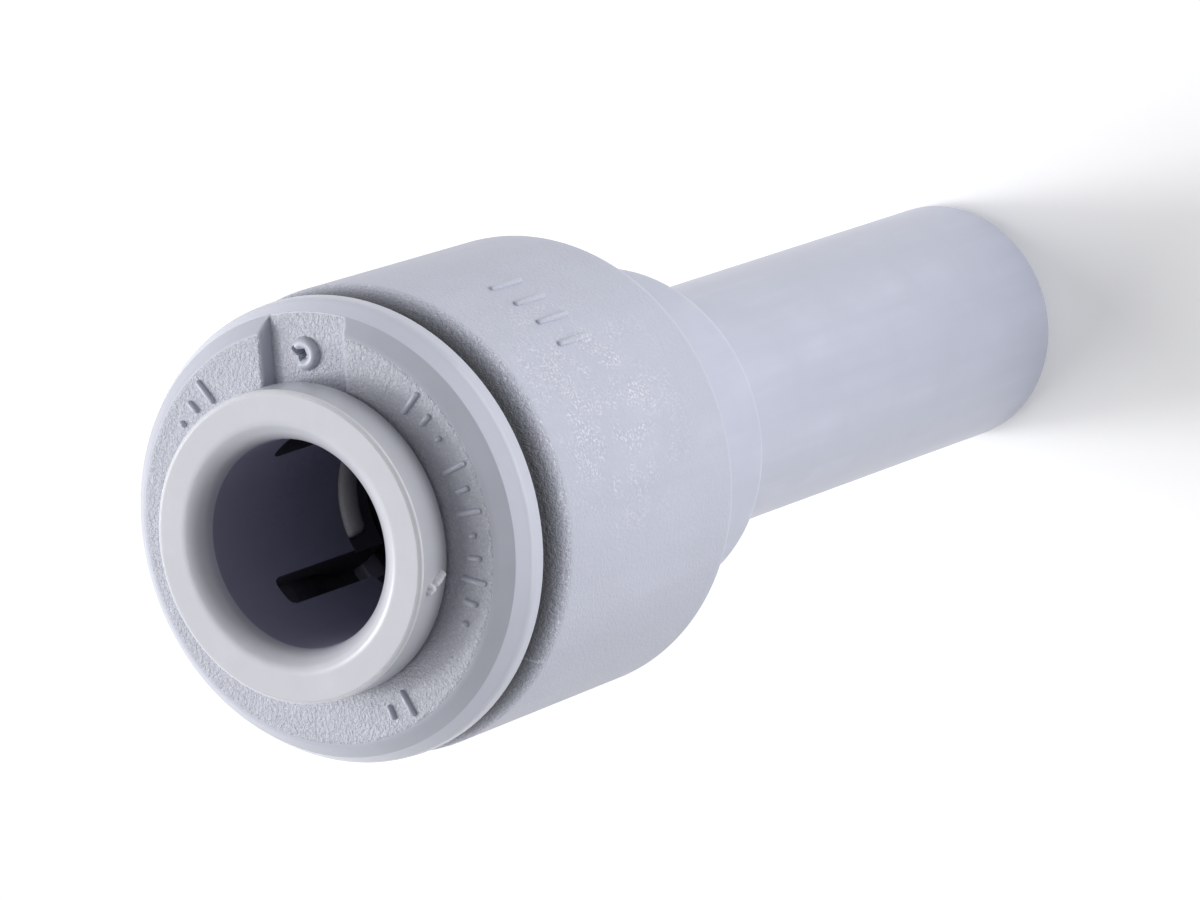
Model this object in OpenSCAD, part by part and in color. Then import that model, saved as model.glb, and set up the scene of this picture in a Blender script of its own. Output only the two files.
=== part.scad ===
// Push-in stem reducer: a plain stem at the bottom, a push-in tube socket on top.
// The part stands on the end of its stem. Its axis is Z, and the gate pocket of the end cap is at +X.

/* [Stem] */
// Diameter of the plain stem, a standard tube size
stem_d = 7.94; // [7:0.02:9]
// Length of the stem, from its end to the collar
stem_l = 20.7; // [16:0.1:26]
// Bore through the stem
stem_bore_d = 4.8; // [4:0.1:5.4]
// Rounding of the stem's outer end, which slides into a seal
stem_end_r = 0.6; // [0.3:0.05:0.8]
// Chamfer of the bore at the stem's end
stem_bore_chamfer = 0.25; // [0.1:0.05:0.35]

/* [Collar] */
// Diameter of the collar between stem and body
collar_d = 10.8; // [10:0.1:12]
// Length of the collar
collar_l = 4.7; // [3.5:0.1:6]
// Rounding of the collar's lower edge
collar_edge_r = 0.35; // [0.1:0.05:0.6]
// Fillet where the stem meets the collar, and the collar the body
root_fillet = 0.3; // [0.1:0.05:0.5]

/* [Body] */
// Length of the body, from its lower shoulder to the mouth
body_l = 10.7; // [10.2:0.1:13]
// Wall of the body around its mouth
body_wall = 1.33; // [1.1:0.01:1.8]
// Draft of the body's outside, in degrees
body_draft = 0.5; // [0:0.1:1]
// Rounding of the body's lower edge
body_edge_r = 0.4; // [0.1:0.05:0.7]
// Height of the bevel around the mouth
mouth_bevel_h = 1; // [0.6:0.05:1.2]
// Flat land between the bevel and the mouth
mouth_land = 0.35; // [0.2:0.05:0.5]
// Rounding between the bevel and the body's outside
mouth_edge_r = 0.25; // [0.1:0.05:0.4]

/* [Tube and seal] */
// Outside diameter of the tube that the socket takes
tube_d = 6.35; // [6:0.01:6.6]
// Difference in diameter between the tube and the bore that guides it
tube_clearance = 0.1; // [0.05:0.01:0.2]
// Depth of the tube's seat below the seal
tube_seat_l = 5.1; // [4.5:0.1:5.5]
// Thickness of the rubber ring
seal_section = 1.7; // [1.5:0.05:1.9]
// How far the rubber ring stands inside the tube's outside
seal_squeeze = 0.17; // [0.1:0.01:0.25]
// Room above the rubber ring in its seat
seal_room = 0.35; // [0.2:0.05:0.6]

/* [End cap] */
// How far the cap's flange stays inside the body's outside, at its widest
cap_step = 0.09; // [0.05:0.01:0.4]
// Height of the flange above the body's mouth
cap_h = 1.72; // [1.3:0.02:2]
// Groove between the flange's rim and the body's mouth, outside the land that the flange sits on
cap_groove = 0.22; // [0.1:0.01:0.35]
// Draft of the flange's side, in degrees
cap_draft = 4; // [0:0.5:6]
// Width and height of the chamfer between the flange's side and its face
cap_chamfer = 0.74; // [0.3:0.02:0.9]
// Largest rounding between the flange's side and the chamfer
cap_edge_r = 1.2; // [0.3:0.05:1.3]
// Rounding of the flange's lower edge
cap_foot_r = 0.05; // [0.02:0.01:0.06]
// Length of the skirt in the body's mouth
skirt_l = 6.1; // [5.6:0.1:6.6]
// Wall of the skirt around the heads of the collet
skirt_wall = 0.95; // [0.7:0.05:1.1]
// Gap between the skirt and the body's mouth, on the radius
skirt_fit = 0.02; // [0.01:0.01:0.05]
// Rounding of the skirt's inner edge, which faces the seal
skirt_edge_r = 0.2; // [0.1:0.05:0.3]

/* [Gate pocket] */
// Width of the pocket at its floor
pocket_w = 2.76; // [2:0.02:3.4]
// Depth of the pocket below the cap's face
pocket_depth = 0.5; // [0.3:0.05:0.8]
// Draft of the pocket's side walls, in degrees
pocket_draft = 12; // [2:1:20]
// Wall left between the pocket and the cap's bore
pocket_wall = 0.5; // [0.3:0.05:0.7]
// Outer diameter of the raised ring around the gate
gate_d = 1.06; // [0.8:0.02:1.3]
// Width of that ring's wall
gate_wall = 0.3; // [0.2:0.02:0.35]
// Height of the ring above the pocket's floor, and depth of the pit inside it
gate_h = 0.22; // [0.1:0.02:0.3]
// Distance of the ring from the axis
gate_radius = 5.6; // [5.4:0.02:5.9]
// Distance of the ring from the pocket's middle
gate_side = 0.16; // [0:0.02:0.4]

/* [Collet] */
// Wall of the collet's sleeve
collet_wall = 0.75; // [0.6:0.05:0.9]
// Gap between sleeve and cap, on the radius
collet_gap = 0.1; // [0.06:0.01:0.15]
// Diameter of the collet's flange
flange_d = 9.7; // [9.2:0.02:10]
// Thickness of the flange
flange_t = 1.44; // [1.3:0.01:1.8]
// Rounding of the flange's upper edge
flange_edge_r = 0.32; // [0.1:0.02:0.5]
// Rounding of the flange's lower edge
flange_foot_r = 0.12; // [0.05:0.01:0.2]
// Gap between flange and cap with the collet pushed in
flange_gap = 0.1; // [0.05:0.01:0.2]
// Width of the rounded lead-in around the bore
lip_w = 0.7; // [0.3:0.02:0.8]
// Depth of the rounded lead-in
lip_h = 0.75; // [0.2:0.05:0.9]
// How far the collet comes out
collet_travel = 1.3; // [1:0.1:1.5]
// Width of the slit between two legs
slit_w = 1.02; // [0.7:0.02:1.2]
// Depth of the slits' upper ends below the collet's face
slit_depth = 2.95; // [2.6:0.05:3.4]
// Turn of the first slit from the gate pocket, in degrees
collet_turn = 40; // [0:1:90]
// Gap between the legs and the plane of the skirt's end
leg_gap = 0.2; // [0.1:0.05:0.4]

/* [Heads and teeth] */
// How far a head stands out from the sleeve
head_rise = 0.75; // [0.6:0.05:0.85]
// Height of the head's cone, which runs in the cone of the cap
head_cone_h = 2.2; // [1.8:0.1:2.6]
// Height of the head's round part
head_land_h = 0.6; // [0.4:0.05:0.8]
// Bevel at the lower end of the head
head_bevel = 0.4; // [0.2:0.05:0.5]
// Gap between the head and the skirt, on the radius
head_gap = 0.3; // [0.2:0.02:0.4]
// Height of the teeth's tips above the legs' ends
tooth_z = 1.15; // [1:0.05:1.3]
// Thickness of a tooth, along the axis
tooth_t = 0.28; // [0.2:0.02:0.34]
// How far a tooth stands inside the tube's outside
tooth_bite = 0.22; // [0.1:0.02:0.3]
// Lean of a tooth, down towards its tip, in degrees
tooth_lean = 32; // [20:1:38]
// Depth to which a tooth is moulded into its leg
tooth_root = 0.55; // [0.4:0.05:0.6]
// Width of a tooth around the bore, in degrees
tooth_arc = 58; // [40:1:60]
// Relief of the bore below the teeth, on the radius
tooth_relief = 0.2; // [0.16:0.01:0.25]

/* [Hidden] */
$fn = 96;
// Number of steps on a rounded edge
arc_n = 6;
// How far a cutting shape runs past the face that it cuts
cut = 1;
// Number of legs, each with its head and its tooth
leg_count = 4;

// Radii, from the tube outwards
tube_r = tube_d / 2;
guide_r = tube_r + tube_clearance / 2;
sleeve_r = guide_r + collet_wall;
cap_bore_r = sleeve_r + collet_gap;
head_r = sleeve_r + head_rise;
skirt_bore_r = head_r + head_gap;
skirt_r = skirt_bore_r + skirt_wall;
mouth_r = skirt_r + skirt_fit;
body_r = mouth_r + body_wall;
cap_r = body_r - cap_step;
seal_seat_r = tube_r - seal_squeeze + seal_section;
stem_r = stem_d / 2;
stem_bore_r = stem_bore_d / 2;
collar_r = collar_d / 2;
flange_r = flange_d / 2;

// Heights, from the stem's end upwards
shoulder_z = stem_l + collar_l;
mouth_z = shoulder_z + body_l;
face_z = mouth_z + cap_h;
pocket_z = face_z - pocket_depth;
flange_z = face_z + flange_gap;
front_z = flange_z + flange_t;
slit_z = front_z - slit_depth;
skirt_z = mouth_z - skirt_l;
seal_z = skirt_z - seal_room - seal_section;
stop_z = seal_z - tube_seat_l;
leg_z = skirt_z + leg_gap;

// The cones of heads and cap have one slope, and the heads reach the cap's cone at the end of the travel
cone_slope = head_rise / head_cone_h;
head_low_z = leg_z + head_bevel + head_land_h;
head_top_z = head_low_z + head_cone_h;
cone_top_z = head_top_z + collet_travel;
cone_low_z = cone_top_z - (skirt_bore_r - cap_bore_r) / cone_slope;

// Each tooth rises from its tip, inside the bore, to its root in the leg
tip_r = tube_r - tooth_bite;
tip_z = leg_z + tooth_z;
root_r = guide_r + tooth_root;
root_z = tip_z + (root_r - tip_r) * tan(tooth_lean);
// The bore has its guide width down to just above where the teeth come out of it
relief_z = tip_z + (guide_r - tip_r) * tan(tooth_lean) + tooth_t + tooth_relief;

// Arc of radius r that rounds the corner p between the points a and b
function unit(v) = v / norm(v);
function corner_arc(a, p, b, r) =
    let (u = unit(a - p), v = unit(b - p), half = acos(u * v) / 2,
         c = p + unit(u + v) * r / sin(half),
         s = p + u * r / tan(half) - c, e = p + v * r / tan(half) - c,
         from = atan2(s[1], s[0]), swing = atan2(e[1], e[0]) - from,
         turn = swing > 180 ? swing - 360 : swing < -180 ? swing + 360 : swing)
    [for (i = [0:arc_n]) c + r * [cos(from + turn * i / arc_n), sin(from + turn * i / arc_n)]];
function xy(p) = [p[0], p[1]];

// Outline of a profile whose points are [radius, height, rounding]
function rounded(path) =
    let (n = len(path))
    [for (i = [0:n - 1]) each path[i][2] == 0 ? [xy(path[i])] :
        corner_arc(xy(path[(i + n - 1) % n]), xy(path[i]), xy(path[(i + 1) % n]), path[i][2])];

// Repeats a shape for each leg of the collet, midway between two slits
module at_leg(i) {
    rotate(collet_turn + (i + 0.5) * 360 / leg_count) children();
}

// Housing, collar and bored stem, one moulding
module body() {
    low_r = body_r - (body_l - mouth_bevel_h) * tan(body_draft);
    color([0.74, 0.75, 0.80])
    rotate_extrude() polygon(rounded([
        [stem_bore_r + stem_bore_chamfer, 0, 0],
        [stem_r, 0, stem_end_r],
        [stem_r, stem_l, root_fillet],
        [collar_r, stem_l, collar_edge_r],
        [collar_r, shoulder_z, root_fillet],
        [low_r, shoulder_z, body_edge_r],
        [body_r, mouth_z - mouth_bevel_h, mouth_edge_r],
        [mouth_r + mouth_land, mouth_z, 0],
        [mouth_r, mouth_z, 0],
        [mouth_r, skirt_z, 0],
        [seal_seat_r, skirt_z, 0],
        [seal_seat_r, seal_z, 0],
        [guide_r, seal_z, 0],
        [guide_r, stop_z, 0],
        [stem_bore_r, stop_z, 0],
        [stem_bore_r, stem_bore_chamfer, 0]]));
}

// Slot across the cap's face, which runs out through its chamfer and holds the gate
module gate_pocket() {
    top_z = face_z + cut;
    half_w = pocket_w / 2;
    top_half_w = half_w + (top_z - pocket_z) * tan(pocket_draft);
    translate([cap_bore_r + pocket_wall, 0, 0]) rotate([90, 0, 90]) linear_extrude(cap_r)
        polygon([[-half_w, pocket_z], [half_w, pocket_z], [top_half_w, top_z], [-top_half_w, top_z]]);
}

// Ring that closes the mouth and holds the collet by its heads
module end_cap() {
    side_h = cap_h - cap_chamfer - cap_groove;
    side_r = cap_r - side_h * tan(cap_draft);
    seat_r = mouth_r + mouth_land;
    // The rounding ends above the rounding of the flange's lower edge
    edge_r = min(cap_edge_r, (side_h - cap_foot_r) / tan((45 - cap_draft) / 2));
    color([0.70, 0.71, 0.75]) difference() {
        union() {
            difference() {
                rotate_extrude() polygon(rounded([
                    [skirt_r, skirt_z, 0],
                    [skirt_r, mouth_z, 0],
                    [seat_r, mouth_z, 0],
                    [seat_r + cap_groove, mouth_z + cap_groove, 0],
                    [cap_r, mouth_z + cap_groove, cap_foot_r],
                    [side_r, face_z - cap_chamfer, edge_r],
                    [side_r - cap_chamfer, face_z, 0],
                    [cap_bore_r, face_z, 0],
                    [cap_bore_r, cone_top_z, 0],
                    [skirt_bore_r, cone_low_z, 0],
                    [skirt_bore_r, skirt_z, skirt_edge_r]]));
                gate_pocket();
            }
            translate([gate_radius, gate_side, pocket_z - gate_h]) cylinder(d = gate_d, h = 2 * gate_h);
        }
        translate([gate_radius, gate_side, pocket_z - gate_h])
            cylinder(d = gate_d - 2 * gate_wall, h = 2 * gate_h + cut);
    }
}

// Slits that part the sleeve into legs
module slits() {
    for (i = [0:leg_count - 1]) rotate(collet_turn + i * 360 / leg_count)
        translate([0, -slit_w / 2, leg_z - cut]) cube([head_r + cut, slit_w, slit_z - leg_z + cut]);
}

// Release button and gripping legs, one moulding
module collet() {
    lip = [for (i = [0:arc_n]) let (a = 90 + 90 * i / arc_n)
        [guide_r + lip_w * (1 + cos(a)), front_z - lip_h * (1 - sin(a)), 0]];
    color([0.80, 0.80, 0.83]) difference() {
        rotate_extrude() polygon(rounded(concat([
            [guide_r + tooth_relief, leg_z, 0],
            [head_r - head_bevel, leg_z, 0],
            [head_r, leg_z + head_bevel, 0],
            [head_r, head_low_z, 0],
            [sleeve_r, head_top_z, 0],
            [sleeve_r, flange_z, 0],
            [flange_r, flange_z, flange_foot_r],
            [flange_r, front_z, flange_edge_r]],
            lip,
            [[guide_r, relief_z, 0],
            [guide_r + tooth_relief, relief_z - tooth_relief, 0]])));
        slits();
        for (i = [0:leg_count - 1]) tooth(i);
    }
}

// Rubber ring, held between its seat and the tube
module o_ring() {
    color([0.12, 0.12, 0.13]) rotate_extrude()
        translate([seal_seat_r - seal_section / 2, seal_z + seal_section / 2]) circle(d = seal_section);
}

// Steel blade of one leg, with an edge that points inwards and down
module tooth(i) {
    color([0.72, 0.73, 0.74]) at_leg(i) rotate(-tooth_arc / 2) rotate_extrude(angle = tooth_arc)
        polygon([[tip_r, tip_z], [root_r, root_z], [root_r, root_z + tooth_t],
            [tip_r + tooth_t, tip_z + tooth_t * (1 + tan(tooth_lean))]]);
}

module tooth_1() { tooth(0); }
module tooth_2() { tooth(1); }
module tooth_3() { tooth(2); }
module tooth_4() { tooth(3); }

body();
end_cap();
collet();
o_ring();
tooth_1();
tooth_2();
tooth_3();
tooth_4();
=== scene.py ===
"""Looks of a push-in stem reducer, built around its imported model.

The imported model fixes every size. The housing, the end cap, the collet and the steel teeth are made
again here with fine, rounded edges, and the mouldings get what their moulds leave on them: grained
faces, a gate, a scar and raised marks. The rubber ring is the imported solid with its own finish.
"""

import logging
import math
from abc import ABC, abstractmethod
from collections.abc import Callable, Sequence
from dataclasses import dataclass
from enum import Enum
from typing import ClassVar

import bmesh
import bpy
from mathutils import Matrix, Vector

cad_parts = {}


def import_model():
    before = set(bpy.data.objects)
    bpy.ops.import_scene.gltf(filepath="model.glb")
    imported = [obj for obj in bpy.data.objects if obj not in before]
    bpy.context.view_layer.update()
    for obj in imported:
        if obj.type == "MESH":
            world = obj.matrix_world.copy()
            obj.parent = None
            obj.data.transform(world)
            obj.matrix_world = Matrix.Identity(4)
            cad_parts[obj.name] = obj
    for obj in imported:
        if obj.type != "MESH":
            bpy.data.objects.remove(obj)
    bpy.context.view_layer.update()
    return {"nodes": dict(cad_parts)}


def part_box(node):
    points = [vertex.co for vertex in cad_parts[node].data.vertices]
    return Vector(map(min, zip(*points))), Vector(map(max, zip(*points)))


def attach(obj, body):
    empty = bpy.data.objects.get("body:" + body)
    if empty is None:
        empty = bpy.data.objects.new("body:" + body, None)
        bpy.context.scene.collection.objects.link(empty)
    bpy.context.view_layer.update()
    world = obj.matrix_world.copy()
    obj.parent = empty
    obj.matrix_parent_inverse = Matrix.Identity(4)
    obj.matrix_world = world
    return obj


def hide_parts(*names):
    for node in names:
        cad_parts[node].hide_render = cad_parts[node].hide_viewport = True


LOG = logging.getLogger("stem_reducer")

MM = 0.001
# Difference below which two lengths in millimetres count as the same
NEAR = 0.001
SHARP_ANGLE = math.radians(38)

Colour = tuple[float, float, float]
Socket = bpy.types.NodeSocket


# Common steps


def polar(radius: float, angle: float, height: float) -> tuple[float, float, float]:
    """Gives the point at a distance from the axis, an angle from +X in radians and a height."""
    return radius * math.cos(angle), radius * math.sin(angle), height


def along_and_aside(place: Vector, turn: float) -> tuple[float, float]:
    """Gives a place's distance along a turn in degrees from +X, and its distance beside it."""
    cosine, sine = math.cos(math.radians(turn)), math.sin(math.radians(turn))
    return place.x * cosine + place.y * sine, place.y * cosine - place.x * sine


def add_object(name: str, data: bpy.types.ID) -> bpy.types.Object:
    """Adds an object to the scene.

    Args:
        name: The object's name.
        data: Its mesh, light or camera.

    Returns:
        The object.
    """
    made = bpy.data.objects.new(name, data)
    bpy.context.scene.collection.objects.link(made)
    return made


def mesh_piece(
    mesh: bmesh.types.BMesh,
    name: str,
    finishes: Sequence[bpy.types.Material],
    sharp_angle: float = math.pi,
) -> bpy.types.Object:
    """Turns mesh work into a smooth piece.

    Args:
        mesh: The mesh work, which is freed.
        name: The piece's name.
        finishes: Its materials.
        sharp_angle: Angle between two faces, in radians, above which their edge stays sharp.

    Returns:
        The piece, linked to the scene.
    """
    bmesh.ops.recalc_face_normals(mesh, faces=mesh.faces)
    for face in mesh.faces:
        face.smooth = True
    data = bpy.data.meshes.new(name)
    mesh.to_mesh(data)
    mesh.free()
    data.set_sharp_from_angle(angle=sharp_angle)
    for finish in finishes:
        data.materials.append(finish)
    return add_object(name, data)


# Turned forms


@dataclass(frozen=True)
class Corner:
    """A corner of a turned outline, in millimetres.

    Attributes:
        radius: Distance from the axis.
        height: Height above the stem's end.
        rounding: Radius of the arc that rounds the corner, or 0.
        pitch: Largest step along the edge that leaves the corner, or 0 for a plain span.
    """

    radius: float
    height: float
    rounding: float = 0.0
    pitch: float = 0.0

    @property
    def point(self) -> Vector:
        """The corner as a point of the outline's plane."""
        return Vector((self.radius, self.height))


class Outline:
    """The closed outline of a turned piece, worked out from its corners."""

    ARC_STEPS = 10
    # Distance of the extra rows that keep a straight stretch flat beside an arc, in millimetres
    GUARD = 0.06

    def __init__(self, corners: Sequence[Corner]) -> None:
        """Keeps the corners.

        Args:
            corners: The corners in order round the outline.
        """
        self.corners = corners

    def points(self) -> list[Vector]:
        """Rounds the corners and divides the stretches between them.

        Returns:
            The outline's points, as (radius, height) in millimetres.
        """
        count = len(self.corners)
        arcs = [self._arc(i) for i in range(count)]
        points: list[Vector] = []
        for i, arc in enumerate(arcs):
            points += arc
            points += self._stretch(arc[-1], arcs[(i + 1) % count][0], self.corners[i].pitch)
        return points

    def _arc(self, index: int) -> list[Vector]:
        """Rounds one corner.

        Args:
            index: The corner's place in the outline.

        Returns:
            The points of its arc, or the corner itself if it is sharp.
        """
        corner = self.corners[index]
        if corner.rounding == 0:
            return [corner.point]
        before = self.corners[index - 1].point - corner.point
        after = self.corners[(index + 1) % len(self.corners)].point - corner.point
        before.normalize()
        after.normalize()
        half = math.acos(before.dot(after)) / 2
        middle = corner.point + (before + after).normalized() * corner.rounding / math.sin(half)
        start = corner.point + before * corner.rounding / math.tan(half) - middle
        end = corner.point + after * corner.rounding / math.tan(half) - middle
        first = math.atan2(start.y, start.x)
        turn = math.remainder(math.atan2(end.y, end.x) - first, math.tau)
        return [
            middle + corner.rounding * Vector((math.cos(a), math.sin(a)))
            for a in (first + turn * i / self.ARC_STEPS for i in range(self.ARC_STEPS + 1))
        ]

    def _stretch(self, start: Vector, end: Vector, pitch: float) -> list[Vector]:
        """Divides a straight stretch.

        Args:
            start: The stretch's first point, which isn't repeated.
            end: Its last point, which isn't repeated either.
            pitch: The largest step, or 0 for guard rows alone.

        Returns:
            The points between the two.
        """
        length = (end - start).length
        if pitch > 0:
            steps = max(1, math.ceil(length / pitch))
            return [start.lerp(end, i / steps) for i in range(1, steps)]
        if length < 3 * self.GUARD:
            return []
        share = self.GUARD / length
        return [start.lerp(end, share), start.lerp(end, 1 - share)]


@dataclass(frozen=True)
class Zone:
    """A part of the turn whose grid lines run parallel to one plane through the axis.

    Attributes:
        turn: Angle of that plane from +X, in degrees.
        offsets: Distances of the lines from the plane, in millimetres, in rising order.
    """

    turn: float
    offsets: tuple[float, ...]

    @classmethod
    def even(cls, turn: float, half_width: float, pitch: float) -> "Zone":
        """Makes a zone with evenly spaced lines.

        Args:
            turn: Angle of the zone's plane, in degrees.
            half_width: Distance of the outer lines from the plane.
            pitch: Largest distance between two lines.

        Returns:
            The zone.
        """
        steps = math.ceil(2 * half_width / pitch)
        return cls(turn, tuple(half_width * (2 * i / steps - 1) for i in range(steps + 1)))


@dataclass(frozen=True)
class GridLine:
    """One line of a turned grid, between the last line of one zone and the first of the next.

    Attributes:
        left: Turn in degrees and offset in millimetres of the line where the gap starts.
        right: The same for the line where it ends.
        share: Place between the two, 0 on the left one.
    """

    left: tuple[float, float]
    right: tuple[float, float]
    share: float

    def angle(self, radius: float) -> float:
        """Gives the line's angle at a radius.

        Args:
            radius: The radius, in millimetres.

        Returns:
            The angle from +X, in radians.
        """
        ends = (self.left, self.right)
        left, right = (math.radians(turn) + math.asin(offset / radius) for turn, offset in ends)
        return left + (right - left) * self.share


def grid_lines(zones: Sequence[Zone], between: int) -> list[GridLine]:
    """Lays the grid lines of a turned piece round the axis.

    Args:
        zones: The zones with lines of their own, in rising order of turn.
        between: Number of lines in a whole turn that is divided among the gaps between zones.

    Returns:
        The lines in rising order of angle.
    """
    lines = []
    for i, zone in enumerate(zones):
        wraps = i + 1 == len(zones)
        following = zones[0] if wraps else zones[i + 1]
        next_turn = following.turn + (360 if wraps else 0)
        lines += [GridLine((zone.turn, offset), (zone.turn, offset), 0) for offset in zone.offsets]
        left = (zone.turn, zone.offsets[-1])
        right = (next_turn, following.offsets[0])
        steps = max(2, round(between * (next_turn - zone.turn) / 360))
        lines += [GridLine(left, right, j / steps) for j in range(1, steps)]
    return lines


class TurnedForm:
    """A grid of vertices turned round the Z axis from an outline."""

    def __init__(self, outline: Sequence[Vector], lines: Sequence[GridLine]) -> None:
        """Places the vertices.

        Args:
            outline: The closed outline, as (radius, height) in millimetres.
            lines: The grid lines round the axis.
        """
        self.outline = outline
        self.lines = lines
        self.mesh = bmesh.new()
        self.rows = []
        for point in outline:
            places = [polar(point.x, line.angle(point.x), point.y) for line in lines]
            self.rows.append([self.mesh.verts.new([c * MM for c in place]) for place in places])

    def reshape(self, rule: Callable[[Vector], Vector]) -> None:
        """Moves the vertices.

        Args:
            rule: Gives a vertex's new place for its old one, both in millimetres.
        """
        for vertex in self.mesh.verts:
            vertex.co = rule(vertex.co / MM) * MM

    def skin(self, is_open: Callable[[int, int], bool] = lambda row, line: False) -> None:
        """Adds the faces between the rows.

        Args:
            is_open: Says whether the cell after a row and a line stays open.
        """
        for i, row in enumerate(self.rows):
            above = self.rows[(i + 1) % len(self.rows)]
            for j in range(len(row)):
                k = (j + 1) % len(row)
                if not is_open(i, j):
                    self.mesh.faces.new((row[j], row[k], above[k], above[j]))


def soft_low(a: float, b: float, blend: float) -> float:
    """Gives the lower of two heights, with a rounded change from one to the other.

    Args:
        a: One height.
        b: The other.
        blend: Width of the rounding, in the same unit.

    Returns:
        The blended height.
    """
    return (a + b - math.hypot(a - b, blend)) / 2


def soft_high(a: float, b: float, blend: float) -> float:
    """Gives the higher of two heights, rounded as in soft_low."""
    return -soft_low(-a, -b, blend)


def fade(distance: float, inner: float, outer: float) -> float:
    """Gives 1 up to one distance and 0 from another on, with a smooth change between them.

    Args:
        distance: The distance to judge.
        inner: Where the change starts.
        outer: Where it ends.

    Returns:
        A share from 0 to 1.
    """
    share = min(1.0, max(0.0, (outer - distance) / (outer - inner)))
    return share * share * (3 - 2 * share)


# Finishes


class NodeGraph:
    """The shader nodes of a material or a world."""

    NOISE_ROUGHNESS = 0.55
    # Range of noise over which a patch comes up
    PATCH_EDGE = 0.4

    def __init__(self, owner: bpy.types.Material | bpy.types.World) -> None:
        """Empties the owner's node tree.

        Args:
            owner: The material or the world.
        """
        self.owner = owner
        owner.use_nodes = True
        self.tree = owner.node_tree
        self.tree.nodes.clear()

    def add(
        self, kind: str, inputs: dict[str, object] | None = None, **options: object
    ) -> bpy.types.Node:
        """Adds a node.

        Args:
            kind: The node's type.
            inputs: A value or an output socket for each named input.
            **options: The node's own settings.

        Returns:
            The node.
        """
        node = self.tree.nodes.new(kind)
        for option, value in options.items():
            setattr(node, option, value)
        for key, value in (inputs or {}).items():
            socket = node.inputs[int(key)] if key.isdigit() else node.inputs[key]
            if isinstance(value, Socket):
                self.tree.links.new(value, socket)
            else:
                socket.default_value = value
        return node

    def math(self, operation: str, a: object, b: object = 0.0) -> Socket:
        """Adds a math node and returns its output."""
        return self.add("ShaderNodeMath", {"0": a, "1": b}, operation=operation).outputs[0]

    def blend(self, share: object, a: object, b: object) -> Socket:
        """Adds a node that mixes two colours.

        Args:
            share: Share of the second colour.
            a: The first colour, or an output that gives it.
            b: The second colour, or an output that gives it.

        Returns:
            The node's output.
        """
        mixer = self.add("ShaderNodeMix", {"0": share}, data_type="RGBA")
        for socket, value in ((mixer.inputs[6], a), (mixer.inputs[7], b)):
            if isinstance(value, Socket):
                self.tree.links.new(value, socket)
            else:
                socket.default_value = (*value, 1.0)
        return mixer.outputs[2]

    def ramp(self, value: Socket, low: float, high: float) -> Socket:
        """Stretches a value's range from low to high over 0 to 1 and returns the output."""
        inputs = {"Value": value, "From Min": low, "From Max": high}
        return self.add("ShaderNodeMapRange", inputs).outputs[0]

    def noise(self, where: Socket, grain_mm: float, detail: float = 2.0) -> Socket:
        """Adds a noise texture.

        Args:
            where: The place on the part.
            grain_mm: Size of its features, in millimetres.
            detail: How many finer layers it has.

        Returns:
            The noise value.
        """
        inputs = {"Vector": where, "Scale": 1 / (grain_mm * MM), "Detail": detail}
        inputs["Roughness"] = self.NOISE_ROUGHNESS
        return self.add("ShaderNodeTexNoise", inputs).outputs[0]

    def patches(self, where: Socket, size_mm: float, low: float = 0.3, detail: float = 3) -> Socket:
        """Adds soft patches, which start at a low noise value, and returns their share."""
        return self.ramp(self.noise(where, size_mm, detail), low, low + self.PATCH_EDGE)

    def place(self) -> Socket:
        """Adds a node that gives the place on the part and returns its output."""
        return self.add("ShaderNodeTexCoord").outputs["Object"]

    def stretch(self, where: Socket, factor: float) -> Socket:
        """Scales a place along the axis and returns the output."""
        inputs = {"Vector": where, "Scale": (1.0, 1.0, factor)}
        return self.add("ShaderNodeMapping", inputs).outputs[0]

    def bump(self, height: Socket, depth_mm: float, strength: float = 1.0) -> Socket:
        """Adds a bump of a depth in millimetres and returns the normal."""
        inputs = {"Height": height, "Strength": strength, "Distance": depth_mm * MM}
        return self.add("ShaderNodeBump", inputs).outputs[0]

    def background_share(self) -> Socket:
        """Adds nodes that tell which rays see the plain white background.

        Returns:
            1 for camera, glossy and transmission rays, and 0 for all others.
        """
        rays = self.add("ShaderNodeLightPath").outputs
        share = self.math("MAXIMUM", rays["Is Camera Ray"], rays["Is Glossy Ray"])
        return self.math("MAXIMUM", share, rays["Is Transmission Ray"])

    def surface(self, shader: bpy.types.Node, kind: str = "Material") -> bpy.types.ID:
        """Ends the graph in a shader and returns its owner."""
        self.add(f"ShaderNodeOutput{kind}", {"Surface": shader.outputs[0]})
        return self.owner

    def principled(self, inputs: dict[str, object]) -> bpy.types.Material:
        """Ends the graph in a principled shader with these inputs and returns the material."""
        return self.surface(self.add("ShaderNodeBsdfPrincipled", inputs))


def scaled(colour: Colour, share: float) -> Colour:
    """Gives a colour with its channels scaled, up to 1."""
    return tuple(min(1.0, c * share) for c in colour)


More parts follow.
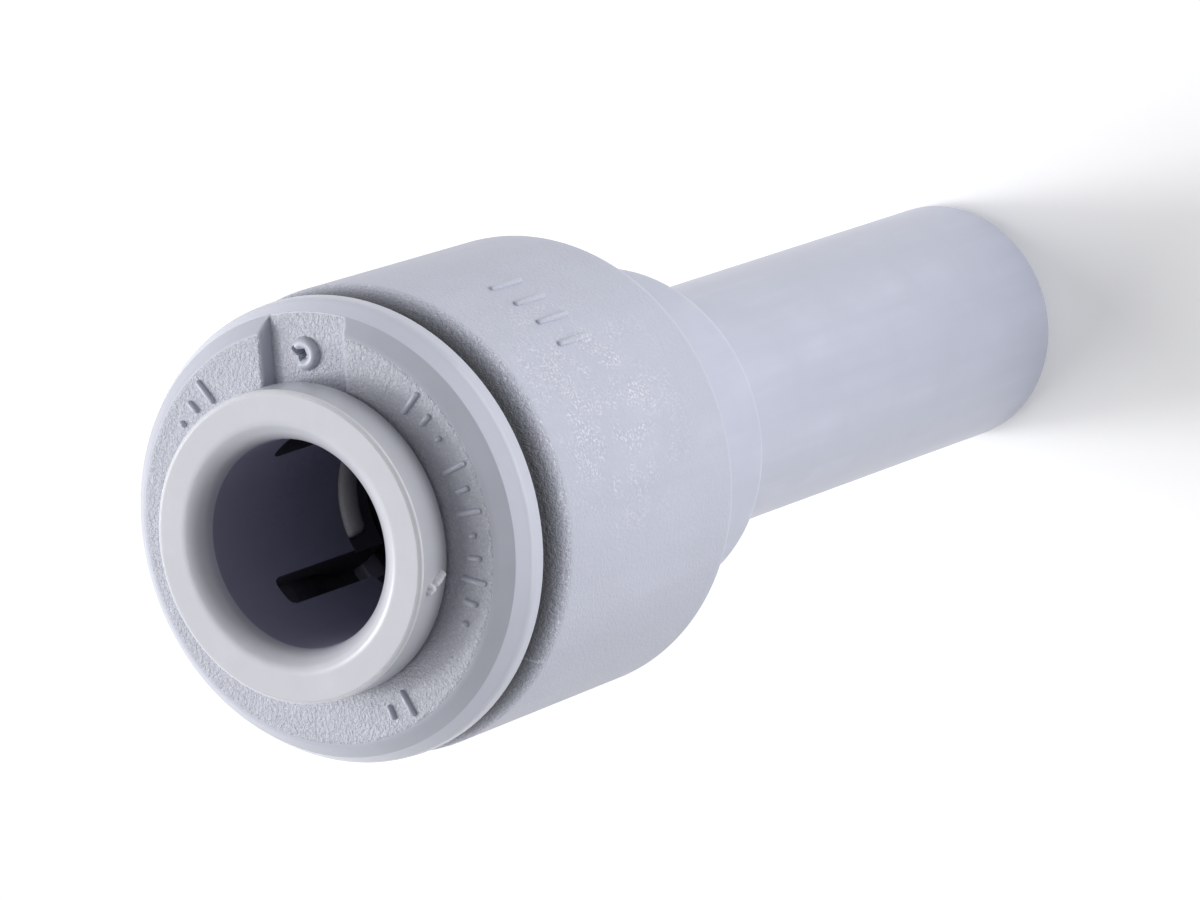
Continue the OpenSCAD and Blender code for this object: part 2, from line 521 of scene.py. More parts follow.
@dataclass(frozen=True)
class PaintedGlints:
    """Painted glints: light flecks painted on a grained moulding where it would catch the light, with
    painted shade in darker hollows between them.

    Attributes:
        share: How far a painted glint's tone goes towards white.
        size_mm: Size of a grain.
        threshold: Noise value above which a grain shows, so that a higher one gives fewer grains.
        place: Middle of the patch round a highlight where the glints are painted, in millimetres, or
            None where they are all over.
        reach: Radius of that patch, in millimetres.
    """

    share: float
    size_mm: float
    threshold: float
    place: tuple[float, float, float] | None = None
    reach: float = 0.0

    # Colour of a painted glint
    PAINTED_GLINT = (0.95, 0.95, 1.0)
    # Range of noise over which a grain comes up
    EDGE = 0.05
    # Sum of the threshold and the noise at which a hollow starts, and at which it is full
    HOLLOW_LIMITS = (1.03, 0.93)
    # Painted shade in a hollow: its tone as a share of the surface's colour, and how much of it shows
    HOLLOW_SHADE_TONE = 0.6
    HOLLOW_SHADE_SHARE = 0.5
    # Share of the painted highlight patch's radius that has all its grains, and the size and noise of
    # its gaps
    PATCH_CORE = 0.35
    GAP_MM = 0.9
    GAP_LIMITS = (0.4, 0.6)

    def add(self, graph: NodeGraph, where: Socket, colour: Colour, tone: Socket) -> Socket:
        """Paints the glints and the shade of the hollows into a tone.

        Args:
            graph: The material's nodes.
            where: The place on the part.
            colour: The surface's own colour.
            tone: The tone so far.

        Returns:
            The new tone.
        """
        grains = graph.noise(where, self.size_mm, 1.0)
        hollows = graph.ramp(grains, *(limit - self.threshold for limit in self.HOLLOW_LIMITS))
        share = graph.ramp(grains, self.threshold, self.threshold + self.EDGE)
        # With a place, the glints are painted only in a patch round it, where a highlight lies
        if self.place is not None:
            ends = {"0": where, "1": tuple(c * MM for c in self.place)}
            away = graph.add("ShaderNodeVectorMath", ends, operation="DISTANCE").outputs["Value"]
            patch = graph.ramp(away, self.reach * MM, self.PATCH_CORE * self.reach * MM)
            gaps = graph.ramp(graph.noise(where, self.GAP_MM), *self.GAP_LIMITS)
            patch = graph.math("MULTIPLY", patch, gaps)
            share = graph.math("MULTIPLY", share, patch)
            hollows = graph.math("MULTIPLY", hollows, patch)
        painted_hollow_shade = graph.math("MULTIPLY", hollows, self.HOLLOW_SHADE_SHARE * self.share)
        tone = graph.blend(painted_hollow_shade, tone, scaled(colour, self.HOLLOW_SHADE_TONE))
        return graph.blend(graph.math("MULTIPLY", share, self.share), tone, self.PAINTED_GLINT)


@dataclass(frozen=True)
class PaintedRingShading:
    """Painted shade and sheen that change with the distance from the axis: a tone below 1 paints
    shade down in a groove, a tone above 1 paints a sheen on a band.

    Attributes:
        tone: Share of the full tone at the inner radius.
        inner: That radius, in millimetres.
        outer: Radius from which the tone is full, in millimetres.
    """

    tone: float
    inner: float
    outer: float

    # Power that holds the inner tone for longer
    CURVE = 1.5

    def add(self, graph: NodeGraph, where: Socket, colour: Colour, tone: Socket) -> Socket:
        """Paints the shade or the sheen into a tone towards the inner radius.

        Args:
            graph: The material's nodes.
            where: The place on the part.
            colour: The surface's own colour.
            tone: The tone so far.

        Returns:
            The new tone.
        """
        flat = {"0": where, "1": (1.0, 1.0, 0.0)}
        level = graph.add("ShaderNodeVectorMath", flat, operation="MULTIPLY").outputs[0]
        radius = graph.add("ShaderNodeVectorMath", {"0": level}, operation="LENGTH")
        out = graph.ramp(radius.outputs["Value"], self.inner * MM, self.outer * MM)
        return graph.blend(graph.math("POWER", out, self.CURVE), scaled(colour, self.tone), tone)


class Finish(ABC):
    """A finish, whose material is built at its first use."""

    name: str

    def material(self) -> bpy.types.Material:
        """Gives the finish's material."""
        made = bpy.data.materials.get(self.name)
        return made or self.wire(NodeGraph(bpy.data.materials.new(self.name)))

    @abstractmethod
    def wire(self, graph: NodeGraph) -> bpy.types.Material:
        """Wires the finish's nodes.

        Args:
            graph: The nodes of its material.

        Returns:
            The material.
        """


@dataclass(frozen=True)
class MouldedAcetal(Finish):
    """Grey acetal as it comes out of the mould.

    Attributes:
        name: The finish's name.
        colour: Its colour, linear.
        roughness: How matt it is.
        grain_mm: Size of the mould's spark-eroded grain.
        grain_depth_mm: Depth of that grain, 0 for a polished mould.
        painted_glints: The painted glints and the painted shade of hollows, if any.
        painted_ring_shading: Painted shade and sheen that change with the distance from the axis, if
            any.
        streaks: Share by which flow along the axis changes the tone.
    """

    name: str
    colour: Colour
    roughness: float
    grain_mm: float = 0.12
    grain_depth_mm: float = 0.0
    painted_glints: PaintedGlints | None = None
    painted_ring_shading: PaintedRingShading | None = None
    streaks: float = 0.04

    IOR = 1.48
    CLOUD_MM = 2.6
    # The flow's streaks, and how far they are drawn out along the axis
    STREAK_MM = 0.9
    DRAWN = 0.08
    # Sizes of the grain's coarse and fine parts as shares of grain_mm, and the fine part's weight
    COARSE = 1.6
    FINE = 0.7
    FINE_WEIGHT = 0.5
    # The faint ripple of a polished mould
    RIPPLE_MM = 0.5
    RIPPLE_DEPTH_MM = 0.01
    RIPPLE_STRENGTH = 0.25

    def relief(self, graph: NodeGraph, where: Socket, drawn: Socket) -> Socket:
        """Adds the mould's grain, or the ripple of a polished mould.

        Args:
            graph: The material's nodes.
            where: The place on the part.
            drawn: The same, drawn out along the axis.

        Returns:
            The normal.
        """
        if self.grain_depth_mm == 0:
            ripple = graph.noise(drawn, self.RIPPLE_MM)
            return graph.bump(ripple, self.RIPPLE_DEPTH_MM, self.RIPPLE_STRENGTH)
        coarse = graph.noise(where, self.grain_mm * self.COARSE)
        fine = graph.noise(where, self.grain_mm * self.FINE, 1.0)
        height = graph.math("ADD", coarse, graph.math("MULTIPLY", fine, self.FINE_WEIGHT))
        return graph.bump(height, self.grain_depth_mm)

    def wire(self, graph: NodeGraph) -> bpy.types.Material:
        """Wires the tone, the flow's streaks and the relief.

        Args:
            graph: The nodes of its material.

        Returns:
            The material.
        """
        where = graph.place()
        drawn = graph.stretch(where, self.DRAWN)
        clouds = graph.patches(where, self.CLOUD_MM)
        flow = graph.patches(drawn, self.STREAK_MM)
        darker = scaled(self.colour, 1 - self.streaks)
        lighter = scaled(self.colour, 1 + self.streaks)
        tone = graph.blend(graph.math("MULTIPLY", clouds, flow), darker, lighter)
        # Lay the painted glints, painted shade and painted sheen over the tone
        for change in (self.painted_glints, self.painted_ring_shading):
            if change is not None:
                tone = change.add(graph, where, self.colour, tone)
        inputs = {"Base Color": tone, "Roughness": self.roughness, "IOR": self.IOR}
        return graph.principled(inputs | {"Normal": self.relief(graph, where, drawn)})


@dataclass(frozen=True)
class SealRubber(Finish):
    """Black rubber of the seal, with a faint bloom and fine pores."""

    name: str = "seal_rubber"
    colour: Colour = (0.02, 0.02, 0.022)
    bloom: Colour = (0.06, 0.06, 0.065)
    bloom_mm: float = 0.6
    bloom_limit: float = 0.35
    pore_mm: float = 0.05
    pore_depth_mm: float = 0.004
    roughness: float = 0.5

    def wire(self, graph: NodeGraph) -> bpy.types.Material:
        """Wires the bloom and the pores.

        Args:
            graph: The nodes of its material.

        Returns:
            The material.
        """
        where = graph.place()
        clouds = graph.patches(where, self.bloom_mm, self.bloom_limit, 4.0)
        tone = graph.blend(clouds, self.colour, self.bloom)
        normal = graph.bump(graph.noise(where, self.pore_mm), self.pore_depth_mm)
        return graph.principled({"Base Color": tone, "Roughness": self.roughness, "Normal": normal})


@dataclass(frozen=True)
class BladeSteel(Finish):
    """Stamped stainless steel of the teeth, with fine lines round the axis."""

    name: str = "blade_steel"
    colour: Colour = (0.34, 0.34, 0.34)
    line_mm: float = 0.2
    line_stretch: float = 8.0
    line_tone: float = 0.85
    roughness: float = 0.5

    def wire(self, graph: NodeGraph) -> bpy.types.Material:
        """Wires the lines.

        Args:
            graph: The nodes of its material.

        Returns:
            The material.
        """
        lines = graph.patches(graph.stretch(graph.place(), self.line_stretch), self.line_mm)
        tone = graph.blend(lines, scaled(self.colour, self.line_tone), self.colour)
        return graph.principled({"Base Color": tone, "Metallic": 1.0, "Roughness": self.roughness})


class Plastic(Enum):
    """The finishes that the mouldings show; some carry painted glints, painted shade and painted
    sheen.
    """

    # The body's grain, with glints painted in a patch where a highlight lies
    BODY = MouldedAcetal(
        "body_grain_painted_glints",
        (0.545, 0.565, 0.675),
        0.45,
        0.07,
        0.02,
        PaintedGlints(0.5, 0.085, 0.575, (3.43, -6.45, 31.6), 5.2),
    )
    # The bevel's grain, with painted glints and painted shade that darkens it towards the groove
    # beside the cap
    BEVEL = MouldedAcetal(
        "bevel_grain_painted_shade",
        (0.54, 0.56, 0.67),
        0.42,
        0.08,
        0.06,
        PaintedGlints(0.45, 0.08, 0.61),
        PaintedRingShading(0.07, 6.84, 7.28),
    )
    STEM = MouldedAcetal("stem_polish", (0.565, 0.59, 0.71), 0.36, streaks=0.06)
    # The cap face's grain, with painted glints
    CAP_FACE = MouldedAcetal(
        "cap_grain_painted_glints", (0.505, 0.52, 0.6), 0.34, 0.07, 0.045, PaintedGlints(0.22, 0.07, 0.61)
    )
    CAP_RIM = MouldedAcetal("cap_polish", (0.585, 0.605, 0.7), 0.28)
    # The band below the cap's crest, painted lighter towards the crest as a sheen
    CAP_EDGE_SHEEN = MouldedAcetal(
        "cap_edge_painted_sheen", (0.57, 0.59, 0.685), 0.26, painted_ring_shading=PaintedRingShading(1.27, 7.08, 7.26)
    )
    COLLET = MouldedAcetal("collet_polish", (0.565, 0.575, 0.635), 0.26)
    # The flange's rounded edge and the gate scar, painted lighter as a highlight
    COLLET_EDGE_HIGHLIGHT = MouldedAcetal("collet_edge_painted_highlight", (0.76, 0.77, 0.83), 0.22)
    # Painted shade in the collet's bore
    BORE_SHADE = MouldedAcetal("collet_bore_painted_shade", (0.31, 0.31, 0.42), 0.5)
    # Painted shade on the slits' walls, the legs and the cap's inner walls
    SLIT_SHADE = MouldedAcetal("slit_wall_painted_shade", (0.09, 0.09, 0.105), 0.6)

    def material(self) -> bpy.types.Material:
        """Gives the finish's material."""
        return self.value.material()


# Pieces


@dataclass(frozen=True)
class Reach:
    """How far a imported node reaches, in millimetres.

    Attributes:
        bottom: Its lowest height.
        top: Its highest height.
        radius: Its largest distance from the axis.
    """

    bottom: float
    top: float
    radius: float

    @classmethod
    def of(cls, node: str) -> "Reach":
        """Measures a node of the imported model.

        Args:
            node: The node's name.

        Returns:
            Its reach.
        """
        low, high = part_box(node)
        return cls(low.z / MM, high.z / MM, high.y / MM)


@dataclass
class Moulding(ABC):
    """A moulding that is turned from an outline, with finishes that depend on the place.

    Attributes:
        reach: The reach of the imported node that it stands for.
    """

    reach: Reach

    LOOKS: ClassVar[tuple[Plastic, ...]] = ()
    COLUMNS: ClassVar[int] = 288

    @abstractmethod
    def corners(self) -> list[Corner]:
        """Lists the corners of the outline."""

    @abstractmethod
    def look_at(self, radius: float, height: float) -> Plastic:
        """Gives the finish of a place.

        Args:
            radius: Its distance from the axis, in millimetres.
            height: Its height, in millimetres.

        Returns:
            The finish, one of LOOKS.
        """

    def form(self, zones: Sequence[Zone]) -> TurnedForm:
        """Turns the outline, with a finer grid in the zones."""
        return TurnedForm(Outline(self.corners()).points(), grid_lines(zones, self.COLUMNS))

    def piece(self, form: TurnedForm, name: str) -> bpy.types.Object:
        """Turns the finished form into a piece.

        Args:
            form: The form.
            name: The piece's name.

        Returns:
            The piece, linked to the scene.
        """
        for face in form.mesh.faces:
            middle = face.calc_center_median() / MM
            look = self.look_at(math.hypot(middle.x, middle.y), middle.z)
            face.material_index = self.LOOKS.index(look)
        return mesh_piece(form.mesh, name, [look.material() for look in self.LOOKS], SHARP_ANGLE)


@dataclass
class Housing(Moulding):
    """Housing, collar and stem, one moulding. Sizes are in millimetres."""

    stem_radius: float = 3.97
    stem_length: float = 20.7
    stem_bore: float = 2.4
    bore_chamfer: float = 0.25
    stem_end_rounding: float = 0.6
    collar_radius: float = 5.4
    collar_length: float = 4.7
    draft: float = 0.5
    bevel_height: float = 1.0
    bevel_rounding: float = 0.8
    mouth_land: float = 0.35
    mouth_radius: float = 5.995
    mouth_depth: float = 6.1
    seal_seat_radius: float = 4.705
    seal_seat_depth: float = 2.05
    tube_radius: float = 3.225
    tube_seat_depth: float = 5.1
    # The line that the plastic's flow leaves on the bevel: its turn in degrees, width and height,
    # and the half width and pitch of the fine grid under it
    flow_turn: float = -125.0
    flow_width: float = 0.07
    flow_height: float = 0.05
    flow_zone: tuple[float, float] = (0.3, 0.03)

    LOOKS = (Plastic.BODY, Plastic.STEM, Plastic.BEVEL)
    # How far below the bevel the flow line's rule reaches
    FLOW_MARGIN = 0.2
    # Limits of the finishes: the bevel's as a share of its height, the others from an edge
    BEVEL_SHARE = 1.2
    MOUTH_MARGIN = 0.1
    SHOULDER_MARGIN = 0.5
    COLLAR_MARGIN = 1.0

    def corners(self) -> list[Corner]:
        """Lists the corners of the housing's outline.

        Returns:
            The corners, in order round the outline.
        """
        top = self.reach.top
        shoulder = self.stem_length + self.collar_length
        seat = top - self.mouth_depth
        seal = seat - self.seal_seat_depth
        stop = seal - self.tube_seat_depth
        bevel = top - self.bevel_height
        low_radius = self.reach.radius - (bevel - shoulder) * math.tan(math.radians(self.draft))
        return [
            Corner(self.stem_bore + self.bore_chamfer, 0, 0.05),
            Corner(self.stem_radius, 0, self.stem_end_rounding),
            Corner(self.stem_radius, self.stem_length, 0.3),
            Corner(self.collar_radius, self.stem_length, 0.35),
            Corner(self.collar_radius, shoulder, 0.3),
            Corner(low_radius, shoulder, 0.4),
            Corner(self.reach.radius, bevel, self.bevel_rounding, 0.08),
            Corner(self.mouth_radius + self.mouth_land, top, 0.08),
            Corner(self.mouth_radius, top, 0.05),
            Corner(self.mouth_radius, seat, 0.05),
            Corner(self.seal_seat_radius, seat, 0.1),
            Corner(self.seal_seat_radius, seal, 0.2),
            Corner(self.tube_radius, seal, 0.15),
            Corner(self.tube_radius, stop, 0.1),
            Corner(self.stem_bore, stop, 0.1),
            Corner(self.stem_bore, self.bore_chamfer, 0.05),
        ]

    def with_flow_line(self, place: Vector) -> Vector:
        """Raises the flow line on the mouth's bevel.

        Args:
            place: A vertex's place.

        Returns:
            Its new place.
        """
        radius = math.hypot(place.x, place.y)
        lowest = self.reach.top - self.bevel_height - self.FLOW_MARGIN
        if place.z < lowest or radius < self.mouth_radius + self.mouth_land:
            return place
        along, aside = along_and_aside(place, self.flow_turn)
        lift = self.flow_height * fade(abs(aside), 0, self.flow_width) if along > 0 else 0
        # The bevel faces outward and upward alike
        return place + Vector((place.x / radius, place.y / radius, 1)) * lift * math.sqrt(0.5)

    def look_at(self, radius: float, height: float) -> Plastic:
        """Gives the bevel's finish, the housing's, or the one of the collar and the stem.

        Args:
            radius: The place's distance from the axis, in millimetres.
            height: Its height, in millimetres.

        Returns:
            The finish.
        """
        bevel_foot = self.reach.top - self.BEVEL_SHARE * self.bevel_height
        if height > bevel_foot and radius > self.mouth_radius + self.MOUTH_MARGIN:
            return Plastic.BEVEL
        outside = radius > self.collar_radius + self.SHOULDER_MARGIN
        above = height > self.stem_length + self.COLLAR_MARGIN
        return Plastic.BODY if outside and above else Plastic.STEM

    def build(self) -> bpy.types.Object:
        """Builds the moulding.

        Returns:
            The piece.
        """
        form = self.form([Zone.even(self.flow_turn, *self.flow_zone)])
        form.reshape(self.with_flow_line)
        form.skin()
        piece = self.piece(form, "housing_shell")
        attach(piece, "housing")
        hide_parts("body")
        return piece


@dataclass
class EndCap(Moulding):
    """The ring pressed into the housing's mouth, with its gate pocket. Sizes are in millimetres."""

    mouth_height: float
    skirt_radius: float = 5.975
    seat_radius: float = 6.345
    groove: float = 0.22
    bore_radius: float = 4.075
    skirt_bore: float = 5.025
    cone_top: float = 34.7
    cone_bottom: float = 31.913
    chamfer: float = 0.74
    draft: float = 4.0
    # The chamfer ends in a crest, and a steeper band with a rounded shoulder follows
    crest_drop: float = 0.465
    crest_rounding: float = 0.1
    shoulder_drop: float = 1.05
    shoulder_inset: float = 0.03
    shoulder_rounding: float = 0.7
    foot_rounding: float = 0.05
    pocket_half_width: float = 1.37
    pocket_depth: float = 0.45
    pocket_draft: float = 12.0
    pocket_start: float = 4.575
    pocket_rounding: float = 0.18
    foot_blend: float = 0.02
    # The gate: its place, and its ring's crest, half width and rise
    gate_place: tuple[float, float] = (5.6, 0.16)
    gate_crest: float = 0.33
    gate_half_wall: float = 0.18
    gate_rise: float = 0.22
    # The gap in that ring: its turn, how much of the ring it takes, and the angles of its edge
    gap_turn: float = 112.0
    gap_share: float = 0.8
    gap_limits: tuple[float, float] = (15.0, 52.0)
    # The torn pit in the gap: its offset from the ring's middle, its turn, its half length and
    # half width, and its depth
    pit_offset: tuple[float, float] = (0.02, 0.17)
    pit_turn: float = 42.0
    pit_size: tuple[float, float] = (0.23, 0.12)
    pit_depth: float = 0.45
    # The pit's edge: where it starts and ends as shares of the size, and each wave's share, number
    # in a turn and phase
    pit_limits: tuple[float, float] = (0.65, 1.2)
    pit_waves: tuple[tuple[float, int, float], ...] = ((0.22, 3, 0.6), (0.14, 5, 2.1))

    LOOKS = (Plastic.CAP_FACE, Plastic.CAP_RIM, Plastic.SLIT_SHADE, Plastic.CAP_EDGE_SHEEN)
    # Largest share of a pocket wall's height that its rounded edge takes
    ROUNDED_SHARE = 0.8
    # The fine grid over the pocket: its half width as a share of the pocket's, and its pitch
    ZONE_SHARE = 1.4
    ZONE_PITCH = 0.028
    # Ring round the bore that stays whole, and height over the floor below which the gate rises
    WHOLE_RING = 0.15
    GATE_FOOT = 0.1
    # Limits of the finishes, from the inner walls, the face, the crest, the pocket and the gate
    WALL_MARGIN = 0.2
    LIP_DEPTH = 0.3
    EDGE_MARGIN = 0.02
    BORE_MARGIN = 0.1
    START_MARGIN = 0.2
    CHAMFER_MARGIN = 0.04
    FLOOR_MARGIN = 0.06
    GATE_MARGIN = 0.6

    @property
    def rim_height(self) -> float:
        """Height of the underside of the cap's rim, over the groove."""
        return self.mouth_height + self.groove

    @property
    def pocket_floor(self) -> float:
        """Height of the pocket's floor."""
        return self.reach.top - self.pocket_depth

    @property
    def side_radius(self) -> float:
        """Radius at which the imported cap's drafted side meets its chamfer."""
        rise = self.reach.top - self.chamfer - self.rim_height
        return self.reach.radius - rise * math.tan(math.radians(self.draft))

    @property
    def face_radius(self) -> float:
        """Radius at which the face meets its chamfer."""
        return self.side_radius - self.chamfer

    def corners(self) -> list[Corner]:
        """Lists the corners of the cap's outline.

        Returns:
            The corners, in order round the outline.
        """
        top, radius, crest = self.reach.top, self.reach.radius, self.crest_drop
        shoulder = top - self.shoulder_drop
        return [
            Corner(self.skirt_radius, self.reach.bottom, 0.15),
            Corner(self.skirt_radius, self.mouth_height, 0.05),
            Corner(self.seat_radius, self.mouth_height, 0.05),
            Corner(self.seat_radius + self.groove, self.rim_height, 0.05),
            Corner(radius, self.rim_height, self.foot_rounding),
            Corner(radius - self.shoulder_inset, shoulder, self.shoulder_rounding, 0.15),
            Corner(self.face_radius + crest, top - crest, self.crest_rounding, 0.05),
            Corner(self.face_radius, top, 0.4, 0.034),
            Corner(self.bore_radius, top, 0.12),
            Corner(self.bore_radius, self.cone_top, 0.1),
            Corner(self.skirt_bore, self.cone_bottom, 0.1),
            Corner(self.skirt_bore, self.reach.bottom, 0.2),
        ]

    def wall_drop(self, beyond: float, height: float) -> float:
        """Gives how far a pocket wall with a rounded upper edge lies below the surface beside it.

        Args:
            beyond: How far a place lies inside the wall's upper edge.
            height: Height of the surface above the pocket's floor.

        Returns:
            The drop in millimetres.
        """
        rounding = min(self.pocket_rounding, self.ROUNDED_SHARE * height)
        inside = beyond + rounding
        if inside <= 0 or rounding <= 0:
            return 0.0
        if inside < rounding:
            return rounding - math.sqrt(rounding * rounding - inside * inside)
        return rounding + beyond / math.tan(math.radians(self.pocket_draft))

    def gate_height(self, place: Vector) -> float:
        """Gives the height of the gate's ring and torn pit above the pocket's floor.

        Args:
            place: The place, of which the height doesn't count.

        Returns:
            The height in millimetres, below 0 in the pit.
        """
        aside = Vector((place.x - self.gate_place[0], place.y - self.gate_place[1]))
        across = (aside.length - self.gate_crest) / self.gate_half_wall
        round_ring = math.sqrt(max(0.0, 1 - across * across))
        from_gap = math.atan2(aside.y, aside.x) - math.radians(self.gap_turn)
        limits = (math.radians(limit) for limit in self.gap_limits)
        gap = self.gap_share * fade(abs(math.remainder(from_gap, math.tau)), *limits)
        ring = (1 - gap) * self.gate_rise * round_ring
        to_pit = aside - Vector(self.pit_offset)
        turn = math.atan2(to_pit.y, to_pit.x) - math.radians(self.pit_turn)
        along, beside = to_pit.length * math.cos(turn), to_pit.length * math.sin(turn)
        waves = (share * math.sin(count * turn + phase) for share, count, phase in self.pit_waves)
        out = math.hypot(along / self.pit_size[0], beside / self.pit_size[1]) / sum(waves, start=1)
        return ring - (self.pit_depth + ring) * fade(out, *self.pit_limits)

    def with_pocket(self, place: Vector) -> Vector:
        """Sinks the gate pocket into the cap's face and chamfer.

        Args:
            place: A vertex's place.

        Returns:
            Its new place.
        """
        above = place.z - self.pocket_floor
        radius = math.hypot(place.x, place.y)
        if place.x < 0 or above <= 0 or radius < self.bore_radius + self.WHOLE_RING:
            return place
        spread = above * math.tan(math.radians(self.pocket_draft))
        from_side = self.pocket_half_width + spread - abs(place.y)
        walls = place.z - self.wall_drop(min(from_side, radius - self.pocket_start + spread), above)
        height = soft_high(walls, self.pocket_floor, self.foot_blend)
        if height - self.pocket_floor < self.GATE_FOOT:
            height += self.gate_height(place)
        return Vector((place.x, place.y, min(height, place.z)))

    def look_at(self, radius: float, height: float) -> Plastic:
        """Gives the painted shade inside, the painted sheen below the crest, the grain with painted
        glints on the face and in the pocket, or the rim's finish elsewhere.

        Args:
            radius: The place's distance from the axis, in millimetres.
            height: Its height, in millimetres.

        Returns:
            The finish.
        """
        top, above_floor = self.reach.top, height - self.pocket_floor
        wall = self.bore_radius if height > self.cone_top else self.skirt_bore
        # Painted shade on the inner walls
        if radius < wall + self.WALL_MARGIN and height < top - self.LIP_DEPTH:
            return Plastic.SLIT_SHADE
        # The band below the crest gets the painted sheen
        on_band = self.rim_height + self.foot_rounding < height < top - self.crest_drop
        if on_band and radius > self.face_radius + self.crest_drop - self.EDGE_MARGIN:
            return Plastic.CAP_EDGE_SHEEN
        on_face = height > top - self.EDGE_MARGIN and radius > self.bore_radius + self.BORE_MARGIN
        pocket_end = self.face_radius + top - height - self.CHAMFER_MARGIN
        in_pocket = self.pocket_start - self.START_MARGIN < radius < pocket_end
        on_floor = in_pocket and abs(above_floor) < self.FLOOR_MARGIN
        at_gate = abs(radius - self.gate_place[0]) < self.GATE_MARGIN
        in_pit = at_gate and -self.pit_depth < above_floor < 0
        return Plastic.CAP_FACE if on_face or on_floor or in_pit else Plastic.CAP_RIM

    def build(self) -> bpy.types.Object:
        """Builds the ring.

        Returns:
            The piece.
        """
        form = self.form([Zone.even(0, self.ZONE_SHARE * self.pocket_half_width, self.ZONE_PITCH)])
        form.reshape(self.with_pocket)
        form.skin()
        piece = self.piece(form, "cap_ring")
        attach(piece, "housing")
        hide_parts("end_cap")
        return piece


@dataclass(frozen=True)
class MarkRow:
    """A row of raised bars and dots at even steps round the axis.

    Attributes:
        turn: Angle of the first mark from +X, in degrees.
        step: Angle from one mark to the next.
        lengths: The marks' lengths from end to end, in millimetres.
    """

    turn: float
    step: float
    lengths: tuple[float, ...]


class Surface(Enum):
    """The surfaces that can carry marks."""

    FACE = "face"
    SIDE = "side"


BAR, TICK, DOT = 0.9, 0.5, 0.25
CAP_ROWS = (
    MarkRow(40.0, 7.0, (BAR, TICK, DOT)),
    MarkRow(-42.0, -7.0, (BAR, TICK, DOT)),
    MarkRow(-66.0, -7.0, (BAR, TICK, BAR, DOT, TICK, BAR, TICK, DOT)),
    MarkRow(-150.0, -7.0, (BAR, TICK)),
)
SIDE_ROWS = (MarkRow(-24.0, -7.5, (1.7, 1.7, 1.7, 1.7)),)


@dataclass
class MouldMarks:
    """Plain marks that a mould leaves on one surface, half sunk in it. Sizes are in millimetres.

    Attributes:
        name: The piece's name.
        finish: Its finish.
        slot: Not used.
        surface: The surface that carries the marks.
        rows: The rows of marks.
        radius: Distance of the marks' middles from the axis.
        height: Height of their middles.
        width: A mark's width.
        rise: How far it stands out.
        segments: Number of steps round a mark.
    """

    name: str
    finish: Plastic
    slot: str
    surface: Surface
    rows: tuple[MarkRow, ...]
    radius: float
    height: float
    width: float = 0.2
    rise: float = 0.14
    segments: int = 16

    def directions(self, turn: float) -> tuple[Vector, Vector]:
        """Gives a mark's long direction and the surface's normal.

        Args:
            turn: The mark's angle from +X, in radians.

        Returns:
            The two unit vectors.
        """
        outward, upward = Vector(polar(1, turn, 0)), Vector((0, 0, 1))
        return (outward, upward) if self.surface is Surface.FACE else (upward, outward)

    def add_mark(self, mesh: bmesh.types.BMesh, turn: float, length: float) -> None:
        """Adds one mark.

        Args:
            mesh: The mesh work.
            turn: The mark's angle from +X, in radians.
            length: Its length.
        """
        along, normal = self.directions(turn)
        across = normal.cross(along)
        middle = Vector(polar(self.radius, turn, self.height))
        made = bmesh.ops.create_uvsphere(
            mesh, u_segments=self.segments, v_segments=self.segments // 2, radius=1
        )
        for vertex in made["verts"]:
            local = vertex.co.copy()
            shift = math.copysign((length - self.width) / 2, local.x) if abs(local.x) > NEAR else 0
            vertex.co = MM * (
                middle
                + along * (local.x * self.width / 2 + shift)
                + across * local.y * self.width / 2
                + normal * local.z * self.rise
            )

    def build(self) -> bpy.types.Object:
        """Builds the marks as one piece.

        Returns:
            The piece.
        """
        mesh = bmesh.new()
        for row in self.rows:
            for i, length in enumerate(row.lengths):
                self.add_mark(mesh, math.radians(row.turn + i * row.step), length)
        piece = mesh_piece(mesh, self.name, [self.finish.material()])
        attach(piece, "housing")
        return piece


